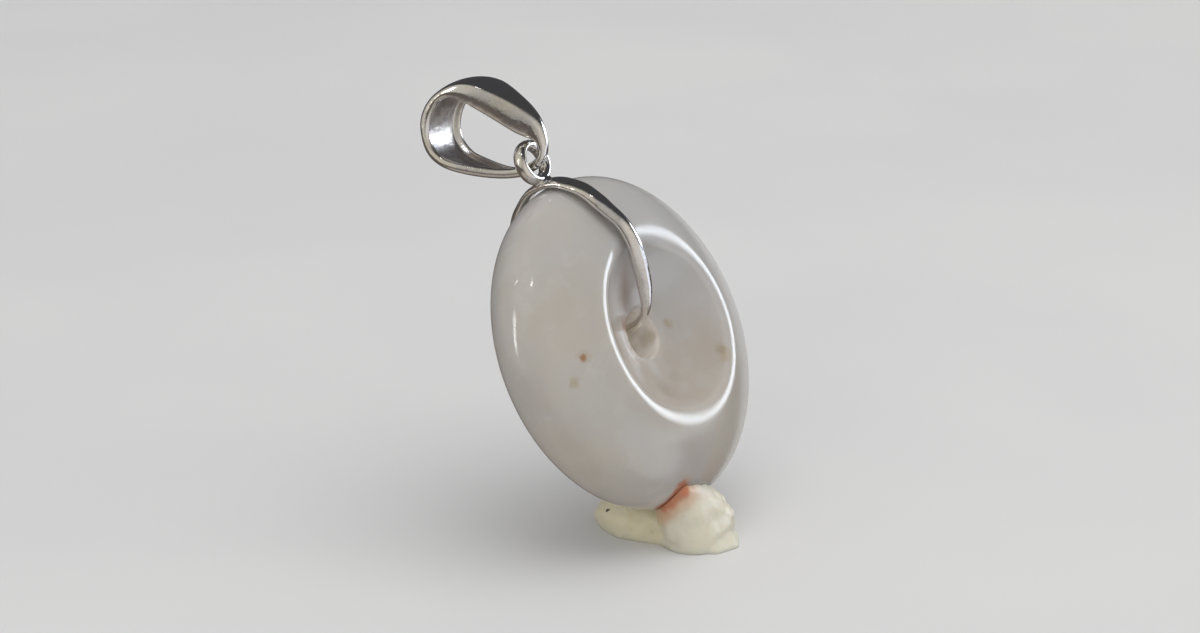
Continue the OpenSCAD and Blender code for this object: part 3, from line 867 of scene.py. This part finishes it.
world = bpy.data.worlds.new("studio")
bpy.context.scene.world = world
world.use_nodes = True
wt = world.node_tree
out = wt.nodes["World Output"]
wt.nodes.remove(wt.nodes["Background"])


def wnode(kind, **kw):
    x = wt.nodes.new(kind)
    for k, v in kw.items():
        setattr(x, k, v)
    return x


def backdrop(colour, strength):
    x = wnode("ShaderNodeBackground")
    x.inputs["Color"].default_value = (*colour, 1)
    x.inputs["Strength"].default_value = strength
    return x.outputs[0]


def blend_world(fac, a, b):
    x = wnode("ShaderNodeMixShader")
    wt.links.new(fac, x.inputs[0])
    wt.links.new(a, x.inputs[1])
    wt.links.new(b, x.inputs[2])
    return x.outputs[0]


way = wnode("ShaderNodeTexCoord").outputs["Generated"]


def glow(az, el, lo, hi):
    """1 toward az, el, falling smoothly to 0; lo and hi are cosines."""
    d = wnode("ShaderNodeVectorMath", operation="DOT_PRODUCT")
    wt.links.new(way, d.inputs[0])
    a, e = math.radians(az), math.radians(el)
    d.inputs[1].default_value = (math.sin(a) * math.cos(e), -math.cos(a) * math.cos(e), math.sin(e))
    r = wnode("ShaderNodeMapRange", interpolation_type="SMOOTHSTEP")
    wt.links.new(d.outputs["Value"], r.inputs["Value"])
    r.inputs["From Min"].default_value = lo
    r.inputs["From Max"].default_value = hi
    return r.outputs["Result"]


def above(lo, hi):
    """0 below elevation lo degrees, 1 above hi."""
    z = wnode("ShaderNodeSeparateXYZ")
    wt.links.new(way, z.inputs[0])
    r = wnode("ShaderNodeMapRange", interpolation_type="SMOOTHSTEP")
    wt.links.new(z.outputs["Z"], r.inputs["Value"])
    r.inputs["From Min"].default_value = math.sin(math.radians(lo))
    r.inputs["From Max"].default_value = math.sin(math.radians(hi))
    return r.outputs["Result"]


def below(lo, hi):
    x = wnode("ShaderNodeMath", operation="SUBTRACT")
    x.inputs[0].default_value = 1.0
    wt.links.new(above(lo, hi), x.inputs[1])
    return x.outputs[0]


def times(a, b):
    x = wnode("ShaderNodeMath", operation="MULTIPLY")
    wt.links.new(a, x.inputs[0])
    wt.links.new(b, x.inputs[1])
    return x.outputs[0]


room = backdrop((0.055, 0.056, 0.060), 1.0)
room = blend_world(times(glow(-125, 25, 0.45, 0.92), above(-12, -6)), room, backdrop((0.58, 0.55, 0.47), 1.0))
room = blend_world(above(-15, -9), backdrop((0.13, 0.110, 0.098), 1.0), room)
room = blend_world(glow(-95, -50, 0.87, 0.97), room, backdrop((0.42, 0.38, 0.33), 1.0))
room = blend_world(glow(100, -16, 0.92, 0.985), room, backdrop((0.62, 0.62, 0.62), 1.0))
room = blend_world(glow(-30, 0, 0.45, 0.97), room, backdrop((0.70, 0.67, 0.62), 1.0))
room = blend_world(glow(17, -17, 0.91, 0.985), room, backdrop((1.05, 1.10, 1.20), 1.0))
low = times(glow(43, -6, 0.925, 0.985), times(above(-11, -7), below(-5, -2)))
room = blend_world(low, room, backdrop((1.35, 1.45, 1.60), 1.0))
soft = backdrop((0.60, 0.605, 0.61), 0.88)
pale = backdrop((0.80, 0.80, 0.81), 0.74)
lp = wnode("ShaderNodeLightPath")
look = blend_world(lp.outputs["Is Glossy Ray"], soft, room)
look = blend_world(lp.outputs["Is Camera Ray"], look, pale)
wt.links.new(look, out.inputs["Surface"])

# ---------------------------------------------------------------- camera
# The photograph's camera: its place and its axes were fitted to the stone's outline.
CAM_X = Vector((0.53983, -0.84170, 0.01187)).normalized()
CAM_Z = Vector((-0.79761, -0.50694, 0.32688)).normalized()
CAM_Y = CAM_Z.cross(CAM_X).normalized()
CAM_X = CAM_Y.cross(CAM_Z).normalized()
FOCAL = 1169.0                                       # pixels, on the 1200 pixel wide photograph
EYE = Vector((-185.584, -115.898, 88.373)) * MM
AIM = (588.0, 302.5)                                 # the photograph's pixel in the middle of the frame
ray = CAM_X * ((AIM[0] - 600) / FOCAL) + CAM_Y * ((316.5 - AIM[1]) / FOCAL) - CAM_Z
turn = (-CAM_Z).rotation_difference(ray.normalized())
cam = bpy.data.objects.new("camera", bpy.data.cameras.new("camera"))
bpy.context.scene.collection.objects.link(cam)
rot = Matrix((CAM_X, CAM_Y, CAM_Z)).transposed()
cam.rotation_mode = "QUATERNION"
cam.rotation_quaternion = turn @ rot.to_quaternion()
cam.location = EYE
cam.data.sensor_width = 36.0
cam.data.lens = 100.0
cam.data.clip_start, cam.data.clip_end = 0.01, 20.0
bpy.context.scene.camera = cam

bpy.context.scene.view_settings.view_transform = "Standard"
bpy.context.scene.view_settings.exposure = 0.0

bpy.context.view_layer.update()
